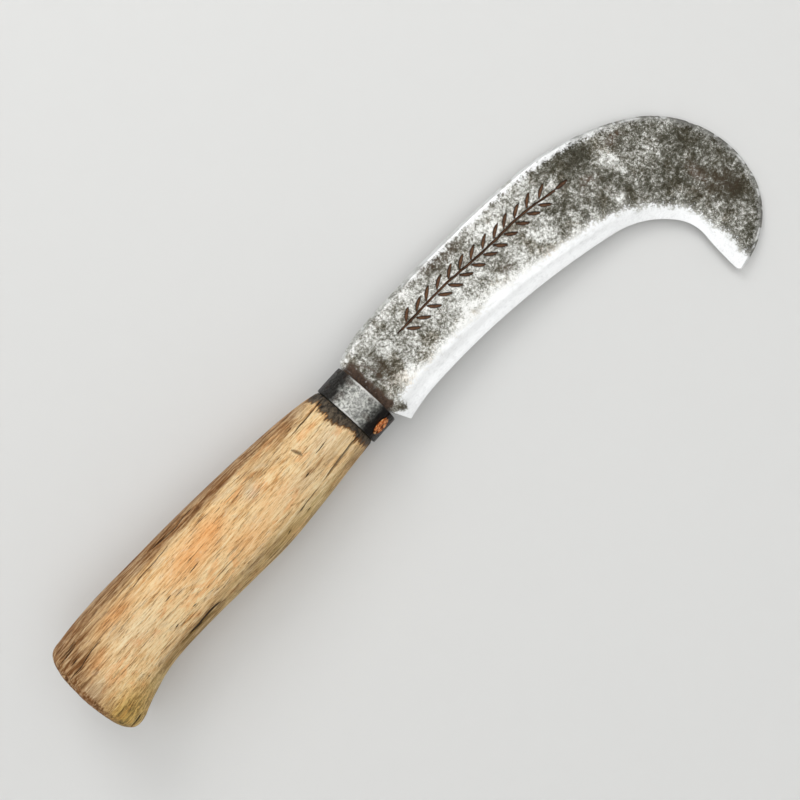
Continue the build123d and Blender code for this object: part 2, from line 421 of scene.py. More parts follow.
def braze_paint():
    paint = Paint("brazing_metal")
    place = paint.spot()
    fine, middle = paint.noise(place, 2.2, 5, 0.7), paint.noise(place, 0.75, 5, 0.65)
    tone = paint.ramp(middle, (0.4, srgb(112, 50, 18)), (0.5, srgb(196, 104, 46)), (0.6, srgb(250, 186, 122)))
    tone = paint.mix(paint.mark("soot"), tone, srgb(30, 20, 15))
    surface = paint.bump(fine, 0.00024, 0.7)
    return paint.finish(Base_Color=tone, Metallic=0.9, Roughness=0.34, Normal=surface)


def wood_paint():
    paint = Paint("handle_wood")
    dirt, char, crack, olive, orange, grey, yellow = paint.marks(
        "dirt", "char", "crack", "olive", "orange", "grey", "yellow")

    # broad bands, grain lines and fine fibres, all drawn out along the handle
    broad = paint.noise(paint.spot((0.035, 0.14, 0.14)), 1.0, 6, 0.66, 0.5)
    blotch = paint.noise(paint.spot((0.09, 0.24, 0.24)), 1.0, 6, 0.7, 0.5)
    lines = paint.noise(paint.spot((0.075, 0.9, 0.9)), 1.0, 8, 0.76, 0.4)
    fibres = paint.noise(paint.spot((0.24, 2.6, 2.6)), 1.0, 6, 0.76, 0.3)
    grain = paint.total(0.0, (broad, 0.2), (lines, 0.45), (fibres, 0.35))
    tone = paint.ramp(
        grain,
        (0.37, srgb(146, 96, 52)),
        (0.43, srgb(214, 164, 104)),
        (0.49, srgb(244, 206, 150)),
        (0.56, srgb(253, 228, 180)),
        (0.64, srgb(255, 242, 212)),
    )
    blush = paint.math("MAXIMUM", paint.times(paint.span(blotch, 0.52, 0.64), 0.6), orange)
    tone = paint.mix(paint.times(blush, 0.8), tone, srgb(252, 204, 160), "MULTIPLY")
    pale = paint.math("MAXIMUM", paint.times(paint.span(blotch, 0.47, 0.38), 0.4), grey)
    tone = paint.mix(paint.times(pale, 0.62), tone,
                     paint.ramp(fibres, (0.38, srgb(142, 124, 100)), (0.6, srgb(240, 226, 202))))
    tone = paint.mix(paint.times(yellow, 0.9), tone, srgb(250, 228, 140), "MULTIPLY")

    # dark fibres in loose groups, then hand grime with painted shade, laid in the low grain
    loose = paint.noise(paint.spot((0.085, 1.4, 1.4)), 1.0, 7, 0.74, 0.7)
    strands = paint.times(paint.span(loose, 0.56, 0.64), paint.span(broad, 0.6, 0.44, 0.15, 0.9))
    tone = paint.mix(strands, tone, srgb(128, 84, 48))
    tone = paint.mix(paint.span(fibres, 0.44, 0.36, 0.0, 0.55), tone, srgb(126, 82, 46))
    soiled_and_shaded = paint.times(dirt, paint.span(lines, 0.60, 0.40, 0.6, 1.15), True)
    tone = paint.mix(soiled_and_shaded, tone, paint.ramp(grain, (0.39, srgb(74, 44, 20)), (0.61, srgb(164, 108, 54))))
    green = paint.times(olive, paint.span(lines, 0.62, 0.42, 0.4, 1.0), True)
    tone = paint.mix(green, tone, paint.ramp(grain, (0.42, srgb(92, 72, 34)), (0.58, srgb(206, 176, 104))))

    # the scorched end and the open cracks
    flecks = paint.noise(paint.spot((0.6, 1, 1)), 0.7, 5, 0.75)
    near_fire = paint.span(char, 0.0, 0.3)
    burnt = paint.total(-1.9, (char, 1.4), (lines, 1.2), (fibres, 0.7), (flecks, 1.9))
    tone = paint.mix(paint.times(paint.span(burnt, 0.1, 0.6), near_fire), tone, srgb(140, 114, 82), "MULTIPLY")
    tone = paint.mix(paint.times(paint.span(burnt, 0.46, 0.9), near_fire), tone,
                     paint.ramp(flecks, (0.4, srgb(23, 19, 16)), (0.62, srgb(104, 92, 76))))
    tone = paint.mix(crack, tone, srgb(36, 23, 14))
    relief = paint.total(0.0, (lines, 1.0), (fibres, 0.6), (strands, -0.5))
    surface = paint.bump(relief, 0.0005, 0.9)
    rough = paint.span(lines, 0.4, 0.6, 0.68, 0.5)
    return paint.finish(Base_Color=tone, Roughness=rough, Normal=surface, Specular_IOR_Level=0.22)


# ---- The blade, with its tang

BLADE_LENGTH, SPINE, EDGE, DROP = 168.9, 18.7, 17.5, 76.4
ROOT_GAP, SHOULDER_LENGTH, SHOULDER_HALF = 0.3, 3.6, 2.1
ROOT_HALF, BEAK_HALF = 2.8, 1.5
EDGE_LAND, BACK_LAND = 0.6, 1.4
BEVEL_RUN, CORNER_RUN = 8.0 / 5.0, 1.7 / 4.2  # the width of each over the thickness that it takes off

edge_points = [(BLADE_LENGTH * a, -EDGE * b) for a, b in ((0.026, 1.098), (0.129, 1.0))]
edge_points += [(BLADE_LENGTH * a, -DROP * b)
                for a, b in ((0.663, 0.392), (0.788, 0.593), (0.804, 0.75), (0.796, 0.982))]
back_points = [(BLADE_LENGTH * a, -DROP * b) for a, b in ((0.802, 1.0), (0.9975, 0.633), (0.8775, 0.036))]
back_points += [(BLADE_LENGTH * a, SPINE * b) for a, b in ((0.604, 0.762), (0.12, 1.0), (0.024, 0.885))]
root_top, root_bottom = (ROOT_GAP, SPINE * 0.59), (ROOT_GAP, -EDGE * 0.57)

edge_line = tangent_arcs(edge_points, (cos(radians(11.4)), sin(radians(11.4))), 60)
back_line = tangent_arcs(back_points, (cos(radians(-0.5)), sin(radians(-0.5))), 60)
spine_line = back_line[::-1]
last_run = back_line[-1] - back_line[-2]
corner_line = tangent_arcs([back_points[-1], root_top], last_run / np.linalg.norm(last_run), 12)[::-1]
root_line = np.vstack([edge_points[0], root_bottom, corner_line])


def edge_and_back(count):
    """Pairs of points on the edge and on the back that face each other across the blade."""
    pairs = np.array([(0, 0), (0.11, 0.085), (0.31, 0.24), (0.53, 0.40), (0.66, 0.50),
                      (0.77, 0.61), (0.86, 0.74), (0.93, 0.865), (1, 1)])
    place = np.linspace(0, 1, count)
    knots = pairs.mean(1)
    smooth = smooth_through(np.column_stack([knots, pairs]), 400)
    return (spread(edge_line, np.clip(np.interp(place, smooth[:, 0], smooth[:, 1]), 0, 1)),
            spread(spine_line, np.clip(np.interp(place, smooth[:, 0], smooth[:, 2]), 0, 1)))


STATIONS, ACROSS = 780, 132
near_edge, near_back = edge_and_back(STATIONS)
share = np.linspace(0, 1, ACROSS)
share = share - 0.055 * np.sin(2 * pi * share)
flat = near_edge[:, None] + (near_back - near_edge)[:, None] * share[None, :, None]
root_row = spread(root_line, share)
pull = 1 - step(0, 1, np.linspace(0, 1, STATIONS) * 9.0)
flat = flat + (root_row - flat[0])[None] * pull[:, None, None]
plan = flat.reshape(-1, 2)

from_edge, along_edge = nearest_on(edge_line, plan)
from_back, along_back = nearest_on(spine_line, plan)
spine_length = lengths_along(spine_line)[-1]

# upper border of the ground band, and the middle line that the ornament follows
band_border = np.array([
    (11.1, -10), (26.2, -10), (41.4, -10), (51.6, -11.5), (61.8, -11), (77.1, -14.7), (87.4, -16.1),
    (97.7, -18.6), (108.1, -20.7), (118.4, -25.3), (128.9, -31.9), (134.1, -38.1), (137.8, -42.7),
    (140, -47.8), (140.5, -53), (141.1, -59.1), (142.5, -63.2), (142.2, -67.4), (141.2, -71.5)])
border_width, border_place = nearest_on(edge_line, band_border)
order = border_place.argsort()
band = np.interp(along_edge, border_place[order], border_width[order]) - from_edge
band = band - ovals(plan, (5.6, -14.4, 2.0, 2.4, 5.0, 20), (3.4, -11.5, 2.0, 2.0, 4.0))

STEM_START, STEM_END, LEAF_GAP = 25.0, 106.0, 5.9
middle_line = smooth_through(
    [(24, 6.9), (39, 6.3), (53, 5.3), (66, 4.2), (79, 3.0), (91, 1.7), (106, -0.6), (120, -3.6)], 400)


def wheat_ear():
    """A hand-cut wheat ear along the blade: its stem and its slanted grains, as lines of points."""
    x = np.linspace(STEM_START, STEM_END + 2.0, 240)
    stem = np.column_stack([x, np.interp(x, middle_line[:, 0], middle_line[:, 1]) + 0.35 * np.sin(x / 6.5)])
    grains = []
    for k in range(26):
        start = STEM_START + 4.0 + LEAF_GAP * (k // 2) + (1.6 if k % 2 else 0.0) + 0.25 * sin(k * 2.3)
        if start > STEM_END + 1.0:
            break
        side = 1 if k % 2 else -1
        foot = np.array([start, np.interp(start, stem[:, 0], stem[:, 1]) + side * 1.0])
        lean = radians(side * (47 + 4 * sin(k * 1.7)) - 6)
        reach = np.linspace(0, 5.3 + 0.4 * sin(k * 3.1), 24)
        bend = side * -0.035 * reach ** 2
        grains.append(foot + np.column_stack([reach * cos(lean) - bend * sin(lean),
                                              reach * sin(lean) + bend * cos(lean)]))
    tip = np.linspace(0, 5.6, 24)
    grains.append(stem[-1] + np.column_stack([0.8 + tip, tip * -0.16]))
    return stem, grains


stem, grains = wheat_ear()
deep = np.column_stack([plan, np.zeros(len(plan))])
near_stem, along_stem = nearest_on(stem, plan)
stroke = (0.46 + 0.07 * noise(deep, 2.4, 3.1)) * step(-1.0, 5, along_stem) + 0.05
cut = 1 - step(0.35, 1.0, near_stem / stroke)
burr = np.exp(-((near_stem - stroke * 1.3) / 0.3) ** 2)
for line in grains:
    near_grain, along_grain = nearest_on(line, plan)
    share_along = along_grain / lengths_along(line)[-1]
    swell = np.sin(pi * np.clip(share_along * 0.9 + 0.05, 0, 1)) ** 0.8
    swell = 0.16 + 0.72 * swell + 0.05 * noise(deep, 1.4, 5.0)
    cut = np.maximum(cut, 1 - step(0.4, 1.0, near_grain / swell))
    burr = np.maximum(burr, np.exp(-((near_grain - swell * 1.3) / 0.3) ** 2))

# dents along the back of the hook, nicks along the edge
back_place = on_line(along_back)
dent = np.maximum(0, 0.7 * noise(back_place, 2.3, 5.2) + 0.5 * noise(back_place, 0.9, 8.6) - 0.12)
on_hook = step(0, 14, along_back - spine_length * 0.46)
dent = dent * (0.08 + 0.38 * on_hook * (0.6 + 0.4 * noise(back_place, 9.0, 3.3)))
nick = 0.10 * np.maximum(0, noise(on_line(along_edge), 4.0, 9.4))
nick_pull, dent_pull = nick * np.exp(-from_edge / 1.2), dent * np.exp(-from_back / 1.5)
from_edge_now = np.maximum(from_edge - nick_pull, 0)
from_back_now = np.maximum(from_back - dent_pull, 0)

side_half = ROOT_HALF - ((ROOT_HALF - BEAK_HALF) * (plan[:, 0] - ROOT_GAP - SHOULDER_LENGTH)
                         / (BLADE_LENGTH - ROOT_GAP - SHOULDER_LENGTH))
into_shoulder = np.clip(1 - (plan[:, 0] - ROOT_GAP) / SHOULDER_LENGTH, 0, 1)
side_half = np.minimum(side_half, ROOT_HALF) - (ROOT_HALF - SHOULDER_HALF) * into_shoulder ** 2
edge_half = (EDGE_LAND + from_edge_now / BEVEL_RUN) / 2
back_half = (BACK_LAND + from_back_now / CORNER_RUN) / 2
nominal = softer_min(softer_min(side_half, edge_half, 0.5), back_half, 0.35)

wander = np.column_stack([noise(deep, lump, shift) for lump, shift in ((4.6, 1.3), (4.6, 6.2))])
ragged_plan = plan + 2.4 * wander + 0.9 * np.column_stack([noise(deep, 1.7, 3.3), noise(deep, 1.7, 8.8)])
ragged_deep = ragged_plan @ np.eye(2, 3)
age = (0.40 + 0.37 * step(92, 128, plan[:, 0]) + 0.12 * noise(deep, 20.0, 2.2) + 0.10 * noise(deep, 6.5, 4.1)
       - 0.26 * step(-6, 1, band) * step(118, 92, plan[:, 0]) * step(8, 20, plan[:, 0]))
age = np.clip(age + ovals(
    ragged_plan, (9.5, 2, 5, 6, 0.30), (6, -14.5, 1.8, 2.2, 0.5), (14, -6, 6, 2.5, -0.35, -25),
    (6, 15, 5, 3, -0.25, 20), (20, 5, 9, 7, 0.14), (57, 13.5, 14, 3.4, 0.26, -3), (72, -8, 4, 3, 0.25),
    (50, -7.5, 9, 2, -0.25), (72, -9, 14, 3, -0.16), (84, 6, 6, 2.5, -0.2, -20), (104, -8, 9, 7, 0.2),
    (123, -21, 3, 5, -0.5), (125, 2, 5, 6, 0.2), (133, -6, 4, 9, -0.38), (130, -30, 3, 3, -0.2),
    (153, -29, 2.4, 2.2, -0.34), (145, -54, 5, 8, -0.34, 20), (158, -51, 4, 8, 0.25, 12),
    (147, -17, 5, 5, -0.25), (151, -63, 4, 3, -0.2, 40)), 0, 1)
rust = np.clip(ovals(
    ragged_plan, (120, -10, 3.4, 2.4, 0.8), (140, -5, 4, 1.8, 0.7, -25), (151, -39, 2.0, 5.5, 0.8, -15),
    (57, 14, 12, 2.2, 0.45, -3), (10, 2, 4, 5, 0.4), (72, -8, 3.5, 2.5, 0.4), (6, -14.5, 1.5, 2, 0.5),
    (156, -46, 5, 9, 0.3, 10)), 0, 1)
rubbed = step(34, 52, plan[:, 0]) * step(145, 128, plan[:, 0]) * step(-9, -3, plan[:, 1])
rubbed = 0.16 + 0.84 * rubbed * (0.4 + 0.6 * step(-0.45, 0.15, noise(ragged_deep, 7.0, 9.9)))
rim_specks = step(1.8, 0.8, from_back) * step(0.05, 0.4, noise(ragged_deep, 2.4, 12.3))
rubbed = np.maximum(rubbed, 0.8 * rim_specks)
shoulder_mark = (step(5.2, 3.6, plan[:, 0] + 0.9 * noise(deep, 1.7, 4.4)) * step(13.8, 11.6, plan[:, 1])
                 * step(-12.2, -9.6, plan[:, 1] + 0.8 * noise(deep, 1.5, 7.1)))
scale_line = smooth_through([(4.4, 10), (6.6, 8.4), (7.9, 5.2), (8.2, 2.2), (7.6, -0.4)], 60)
shoulder_mark = np.maximum(shoulder_mark, 0.8 * np.exp(-(nearest_on(scale_line, plan)[0] / 0.4) ** 2))


def blade_side(up):
    """Half thickness of one side of the blade. Only the upper side is engraved."""
    spot = np.column_stack([plan, np.full(len(plan), 40.0 * up)])
    quiet = step(0.3, 1.5, nominal)
    skin = step(0.5, -1.5, band)
    hammered = 0.16 * (0.5 + 0.5 * noise(spot, (15, 11, 11), 1.7)) + 0.05 * (0.5 + 0.5 * noise(spot, 6.0, 4.4))
    pits = 0.13 * step(0.18, 0.62, noise(spot, 1.5, 6.1)) + 0.10 * step(0.3, 0.7, noise(spot, 2.6, 8.2))
    half = nominal - quiet * hammered - quiet * skin * pits * (0.35 + 0.65 * age)
    if up > 0:
        half = half - 0.55 * cut + 0.05 * burr * (1 - cut)
    return np.maximum(half, 0.18)


to_edge = (near_edge - near_back) / np.linalg.norm(near_edge - near_back, axis=1, keepdims=True)
to_edge = np.repeat(to_edge, ACROSS, axis=0)
moved = plan + to_edge * dent_pull[:, None] - to_edge * nick_pull[:, None]

LAND_STEPS = 3
top = np.column_stack([moved, blade_side(1)]).reshape(STATIONS, ACROSS, 3)
bottom = np.column_stack([moved, -blade_side(-1)]).reshape(STATIONS, ACROSS, 3)[:, ::-1]
land_share = (np.arange(LAND_STEPS) + 1) / (LAND_STEPS + 1)
back_land = top[:, -1:] + (bottom[:, :1] - top[:, -1:]) * land_share[None, :, None]
edge_land = bottom[:, -1:] + (top[:, :1] - bottom[:, -1:]) * land_share[None, :, None]
loop = np.concatenate([top, back_land, bottom, edge_land], axis=1)
around = loop.shape[1]


def end_cap(row):
    """Faces across one end of the blade, from the upper side's points to the lower side's."""
    upper_row = row * around + np.arange(ACROSS)
    lower_row = row * around + ACROSS + LAND_STEPS + np.arange(ACROSS)[::-1]
    return np.stack([upper_row[:-1], upper_row[1:], lower_row[1:], lower_row[:-1]], -1).tolist()


def land_caps(row):
    """Faces that close the two narrow lands at one end of the blade."""
    first = row * around
    back = [first + ACROSS - 1 + k for k in range(LAND_STEPS + 2)]
    edge = [first + (2 * ACROSS + LAND_STEPS - 1 + k) % around for k in range(LAND_STEPS + 2)]
    return [back, edge]


last = STATIONS - 1
caps = end_cap(0) + turned(end_cap(last)) + land_caps(0) + turned(land_caps(last))


def carried(values, below=1):
    """A mark of the plan's points, carried round the loop of each station. below is how much
    of it the lower side has."""
    over = values.reshape(STATIONS, ACROSS)
    lands = [np.repeat(over[:, [k]], LAND_STEPS, axis=1) for k in (-1, 0)]
    return np.concatenate([over, lands[0], over[:, ::-1] * below, lands[1]], axis=1).ravel()


# the tang runs down through the handle, and its end is hammered over the rove
rove_x = to_tool(node_points("tang_rove"))[:, 0]
ROVE_FACE, ROVE_SEAT = rove_x.min(), rove_x.max()
TANG_WIDTH, TANG_THICKNESS = (13, 6.4), (3.6, 3.2)
HEAD_HEIGHT, HEAD_RADIUS, HEAD_RIM = 1.5, 5.0, 0.6


def tang_half(fall):
    """Half the tang's width and thickness, at a share of its way from the root to the rove."""
    return [(first + (last - first) * fall) / 2 for first, last in (TANG_WIDTH, TANG_THICKNESS)]


def tang_block():
    """A square bar that tapers from inside the root to inside the hammered head."""
    count, trim = 60, 0.98
    square = np.array([(-1, -1), (0, -1), (1, -1), (1, 0), (1, 1), (0, 1), (-1, 1), (-1, 0)], float)
    rows = np.linspace(SHOULDER_LENGTH, ROVE_FACE - HEAD_HEIGHT / 2, count)[:, None]
    width, thick = tang_half((SHOULDER_LENGTH - rows) / (rows[0] - rows[-1]))
    sides = np.broadcast_arrays(rows, width * square[:, 0] * trim, thick * square[:, 1] * trim)
    points = np.stack(sides, -1).reshape(-1, 3)
    points[:, 1:] += 0.05 * noise(points, (9, 3, 3), 2.0)[:, None]
    body = quads(count, 8, closed_columns=True)
    return points, body + [list(range(8)), list(range(8 * count - 8, 8 * count))[::-1]]


def hammered_head():
    """The tang's end, spread over the rove by the hammer: a low button with a split rim."""
    rings, turns = 25, 96
    angle = circle(turns)
    rows = []
    for k in range(1, rings + 1):
        t = k / rings
        if t < HEAD_RIM:
            radius, lift = HEAD_RADIUS * t / HEAD_RIM * 0.86, HEAD_HEIGHT * (1 - 0.10 * (t / HEAD_RIM) ** 2)
        else:
            bend = (t - HEAD_RIM) / (1 - HEAD_RIM) * pi / 2
            radius, lift = HEAD_RADIUS * (0.86 + 0.14 * sin(bend)), HEAD_HEIGHT * 0.90 * cos(bend)
        splits = 0.035 * (np.sin(angle * 11) > 0.8) * (t > HEAD_RIM)
        uneven = 1 - 0.05 * (0.5 + 0.5 * np.sin(angle * 3 + 1.0)) * t - splits
        rows.append(ring(ROVE_FACE - lift, radius * uneven, angle))
    points = np.vstack(rows + [(ROVE_FACE - HEAD_HEIGHT, 0, 0), (ROVE_FACE, 0, 0)])
    points[:, 0] += 0.14 * step(0.0, 0.8, noise(points, 2.2, 3.3)) * (points[:, 0] < ROVE_FACE - 0.2)
    body = quads(rings, turns, closed_columns=True)
    centre, under, last = rings * turns, rings * turns + 1, (rings - 1) * turns
    body += [[centre, k, (k + 1) % turns] for k in range(turns)]
    body += [[under, last + (k + 1) % turns, last + k] for k in range(turns)]
    return points, turned(body)


def joined(*parts):
    """Several lists of points and faces as one."""
    points, found, start = [], [], 0
    for part_points, part_faces in parts:
        points.append(part_points)
        found += [[index + start for index in face] for face in part_faces]
        start += len(part_points)
    return np.vstack(points), found


blade_faces = quads(STATIONS, around, closed_columns=True) + caps
blade_points, blade_faces = joined((loop.reshape(-1, 3), blade_faces), tang_block(), hammered_head())
piece(
    "hooked_blade", blade_points, blade_faces, steel_paint(), "blade", "forged_steel", sharp=42,
    **padded(
        len(blade_points), band=(carried(band), -9), back=(carried(from_back), 9), age=(carried(age), 0.8),
        groove=(carried(cut, below=0), 0), rust=(carried(rust, below=0.8), 0.25),
        shoulder=(carried(shoulder_mark), 0.5), rubbed=(carried(rubbed), 0),
    ),
)

# ---- The ferrule and its brazed seam

SEAM_ANGLE, SEAM_WIDTH, WALL, LIP = radians(146), 2.2, 1.8, 0.4
BORE = FERRULE_RADIUS - WALL


def ferrule_ring():
    """A strip rolled round: its section is swept from one lip of the seam to the other."""
    turns, long_steps, thick_steps = 420, 70, 6
    rim = LIP * 0.8
    outer = [(-x, FERRULE_RADIUS) for x in np.linspace(rim, FERRULE_LENGTH - rim, long_steps)]
    bend = np.linspace(0, pi / 2, 5)[1:-1]
    back_rim = [(-FERRULE_LENGTH + rim - rim * sin(b), FERRULE_RADIUS - rim + rim * cos(b)) for b in bend]
    back_wall = [(-FERRULE_LENGTH, r) for r in np.linspace(FERRULE_RADIUS - rim, BORE, thick_steps)]
    inner = [(x, BORE) for x in np.linspace(-FERRULE_LENGTH, 0, 14)[1:-1]]
    front_wall = [(0, r) for r in np.linspace(BORE, FERRULE_RADIUS - rim, thick_steps)]
    front_rim = [(-rim + rim * cos(b), FERRULE_RADIUS - rim + rim * sin(b)) for b in bend]
    section = np.array(outer + back_rim + back_wall + inner + front_wall + front_rim)
    slot = np.arcsin(SEAM_WIDTH / 2 / FERRULE_RADIUS)
    angle = SEAM_ANGLE + slot + (2 * pi - 2 * slot) * np.linspace(0, 1, turns)
    points = ring(section[:, 0], section[:, 1], angle[:, None]).reshape(-1, 3)
    from_axis = np.hypot(points[:, 1], points[:, 2])
    outside = step(BORE + 0.6, FERRULE_RADIUS - 0.2, from_axis)
    worn_low = 0.11 * (0.5 + 0.5 * noise(points, (5, 4, 4), 1.1)) + 0.07 * step(0.1, 0.7, noise(points, 1.1, 5.0))
    at_rims = step(-1.2, 0, points[:, 0]) + step(-10.8, -12, points[:, 0])
    edge_wear = 0.10 * step(0.2, 0.9, noise(points, 2.0, 7.7)) * at_rims
    points[:, 1:] *= (1 - outside * (worn_low + edge_wear) / from_axis)[:, None]
    count = len(section)
    body = quads(turns, count, closed_columns=True)
    body += [list(range(count)), [(turns - 1) * count + k for k in range(count)][::-1]]
    # Darker on the ferrule's two sides as painted shade, standing in for a dark reflection; along the seam the
    # darkening is real, left by the brazing fire.
    aside = np.abs(points[:, 1] - 0.4) / FERRULE_RADIUS + 0.07 * noise(points, (2.5, 2.5, 2.5), 3.3)
    near_seam = np.abs((np.arctan2(points[:, 2], points[:, 1]) - SEAM_ANGLE + pi) % (2 * pi) - pi)
    soot = np.maximum(0.95 * step(0.36, 0.66, aside), step(0.60, 0.30, near_seam)) * outside
    rim_mark = np.maximum(step(-1.1, -0.3, points[:, 0]), step(-11.0, -11.7, points[:, 0])) * outside
    # Lighter at both rims where it is rubbed bare, and along the middle as a painted highlight.
    worn = rim_mark * (0.7 + 0.3 * noise(points, 1.4, 2.5)) * (1 - soot) + 0.22 * step(0.45, 0.1, aside)
    rust = np.clip((1 - outside) * 0.7 + 0.4 * step(0.3, 0.8, noise(points, 3.0, 6.6)), 0, 1)
    return points, turned(body), dict(worn=np.clip(worn, 0, 1), rust=rust, soot=soot)


ring_points, ring_faces, ring_marks = ferrule_ring()
piece(
    "rolled_ferrule", ring_points, ring_faces, iron_paint("ferrule_iron", srgb(68, 68, 65), srgb(194, 195, 189)),
    "ferrule", "ferrule_iron", sharp=50, **ring_marks,
)


def from_node(node, voxel):
    """A closed, even copy of a CAD node, in the tool's frame: points and faces."""
    made = placed("copy_" + node, frame["nodes"][node].data.copy())
    weld = made.modifiers.new("weld", "WELD")
    weld.merge_threshold = 1e-6
    remesh = made.modifiers.new("remesh", "REMESH")
    remesh.mode = "VOXEL"
    remesh.voxel_size = voxel * MM
    smooth = made.modifiers.new("smooth", "SMOOTH")
    smooth.iterations = 2
    bpy.context.view_layer.update()
    shown = made.evaluated_get(bpy.context.evaluated_depsgraph_get())
    mesh = shown.to_mesh()
    points = to_tool([vertex.co for vertex in mesh.vertices])
    found = [list(face.vertices) for face in mesh.polygons]
    shown.to_mesh_clear()
    bpy.data.objects.remove(made)
    return points, found


def normals(points, faces):
    """A direction out of the surface at every point."""
    corners = np.array(faces).T[:3]
    a, b, c = points[corners]
    normal = np.cross(b - a, c - a)
    total = np.zeros_like(points)
    for corner in corners:
        np.add.at(total, corner, normal)
    return total / np.maximum(np.linalg.norm(total, axis=1, keepdims=True), 1e-12)


braze_points, braze_faces = from_node("ferrule_braze", 0.13)
seam_out = np.array([0, cos(SEAM_ANGLE), sin(SEAM_ANGLE)])
height = braze_points @ seam_out - FERRULE_RADIUS
exposed = step(-0.35, 0.1, height)
lumps = (0.22 * (0.5 + 0.5 * noise(braze_points, (2.1, 1.3, 1.3), 4.0))
         + 0.08 * (0.5 + 0.5 * noise(braze_points, 0.7, 1.0)))
across_seam = braze_points @ np.array([0, -sin(SEAM_ANGLE), cos(SEAM_ANGLE)])
soot = np.zeros(len(braze_points))
for x, y in ((-5.2, 0.25), (-2.4, -0.35), (-8.6, 0.3)):
    soot = np.maximum(soot, np.exp(-((braze_points[:, 0] - x) / 0.55) ** 2 - ((across_seam - y) / 0.4) ** 2))
braze_points = braze_points - seam_out * (exposed * (lumps * 0.8 + 0.35 * soot))[:, None]
ends = step(-2.6, -1.7, braze_points[:, 0]) + step(-9.5, -10.2, braze_points[:, 0])
patchy = noise(braze_points, (1.5, 0.8, 0.8), 7.2)
soot = np.clip(soot * 1.2 + step(0.38, 0.06, height + 0.14 * patchy) + ends + 0.7 * step(0.2, 0.7, patchy), 0, 1)
piece(
    "seam_braze", braze_points, braze_faces, braze_paint(), "ferrule_braze", "brazing_metal", sharp=60, soot=soot,
)

# ---- The handle

GRIP_LENGTH, BUTT_RADIUS = 143.2, 130.0
RECESS_RADIUS, RECESS_STEP, TANG_PLAY = 8.9, 6.0, 0.2
SHOULDER_X = -FERRULE_LENGTH
BUTT_X = -FERRULE_LENGTH - GRIP_LENGTH
handle_tree = BVHTree.FromPolygons(
    to_tool(node_points("handle")).tolist(),
    [list(face.vertices) for face in frame["nodes"]["handle"].data.polygons],
)


def side_radii(places, angles):
    """The CAD handle's reach from the tool's axis, at places along it and angles round it."""
    found = np.empty((len(places), len(angles)))
    for i, x in enumerate(places):
        for j, angle in enumerate(angles):
            out = Vector((0, cos(angle), sin(angle)))
            hit, *_ = handle_tree.ray_cast(Vector((x, 0, 0)) + out * 60, -out)
            found[i, j] = Vector((0, hit.y, hit.z)).length
    return found


def handle_mesh():
    """The wood behind the ferrule, as rows of points round the grip, then over the butt's
    corner and in to the rove's recess."""
    turns, rows, behind = 760, 420, 0.3
    angle, rough_angles = circle(turns), circle(120)
    rough_places = np.linspace(SHOULDER_X - behind, BUTT_X + 6.3, 90)
    reach = side_radii(rough_places, rough_angles)
    wrapped = np.column_stack([reach, reach[:, 0]])
    wide = np.array([np.interp(angle, np.append(rough_angles, 2 * pi), row) for row in wrapped])

    def radius_at(places):
        """The reach at a place for each angle, run straight on past the last one cast."""
        place = (places - rough_places[0]) / (rough_places[1] - rough_places[0])
        k = np.clip(place.astype(int), 0, len(rough_places) - 2)
        columns = np.arange(turns)
        return wide[k, columns] + (wide[k + 1, columns] - wide[k, columns]) * (place - k)

    def on_dome(reach):
        """A ring of that reach on the butt's dome."""
        points = ring(0, reach, angle)
        points[:, 0] = BUTT_X + BUTT_RADIUS - np.sqrt(BUTT_RADIUS ** 2 - points[:, 1] ** 2 - points[:, 2] ** 2)
        return points

    corner_x = np.full(turns, BUTT_X + 2.0)
    for _ in range(4):
        corner_r = radius_at(corner_x)
        corner_x = on_dome(corner_r)[:, 0]
    soft = 5.7 + 0.4 * np.sin(angle * 3 + 1) + 0.25 * np.sin(angle * 7) - 1.6 * np.clip(np.cos(angle), 0, 1) ** 2
    side_x, inner_r = corner_x + soft, corner_r - soft
    along = [SHOULDER_X - behind + (side_x - SHOULDER_X + behind) * t for t in np.linspace(0, 1, rows)]
    body = [ring(x, radius_at(x), angle) for x in along]
    corner, dome = ring(corner_x, corner_r, angle), on_dome(inner_r)
    bend = [body[-1] * (1 - t) ** 2 + corner * 2 * t * (1 - t) + dome * t * t for t in np.linspace(0, 1, 22)[1:]]
    end = [on_dome(inner_r + (RECESS_RADIUS - inner_r) * t) for t in np.linspace(0, 1, 48)[1:]]
    return np.stack(body + bend + end)


outside = handle_mesh()
outside_rows, turns = outside.shape[:2]
spots = outside.reshape(-1, 3)
x, y, z = spots.T
inward = -normals(spots, quads(outside_rows, turns, closed_columns=True))


def streak(points, line, width, fade):
    """How deep in a crack points are, from 0 to 1. line is x, y on the upper side; its ends
    taper over fade millimetres."""
    dense = smooth_through(line, 60)
    near = (points[:, :2] > dense.min(0) - 2) & (points[:, :2] < dense.max(0) + 2)
    near = near.all(1) & (points[:, 2] > 0)
    shifted = points[near, :2]
    shifted[:, 1] += 0.18 * noise(on_line(points[near, 0]), 2.2, line[0][1])
    far, along = nearest_on(dense, shifted)
    now = width * step(-0.2, fade, along) * step(-0.2, fade, lengths_along(dense)[-1] - along) + 0.03
    depth = np.zeros(len(points))
    depth[near] = 1 - step(0.3, 1.0, far / now)
    return depth


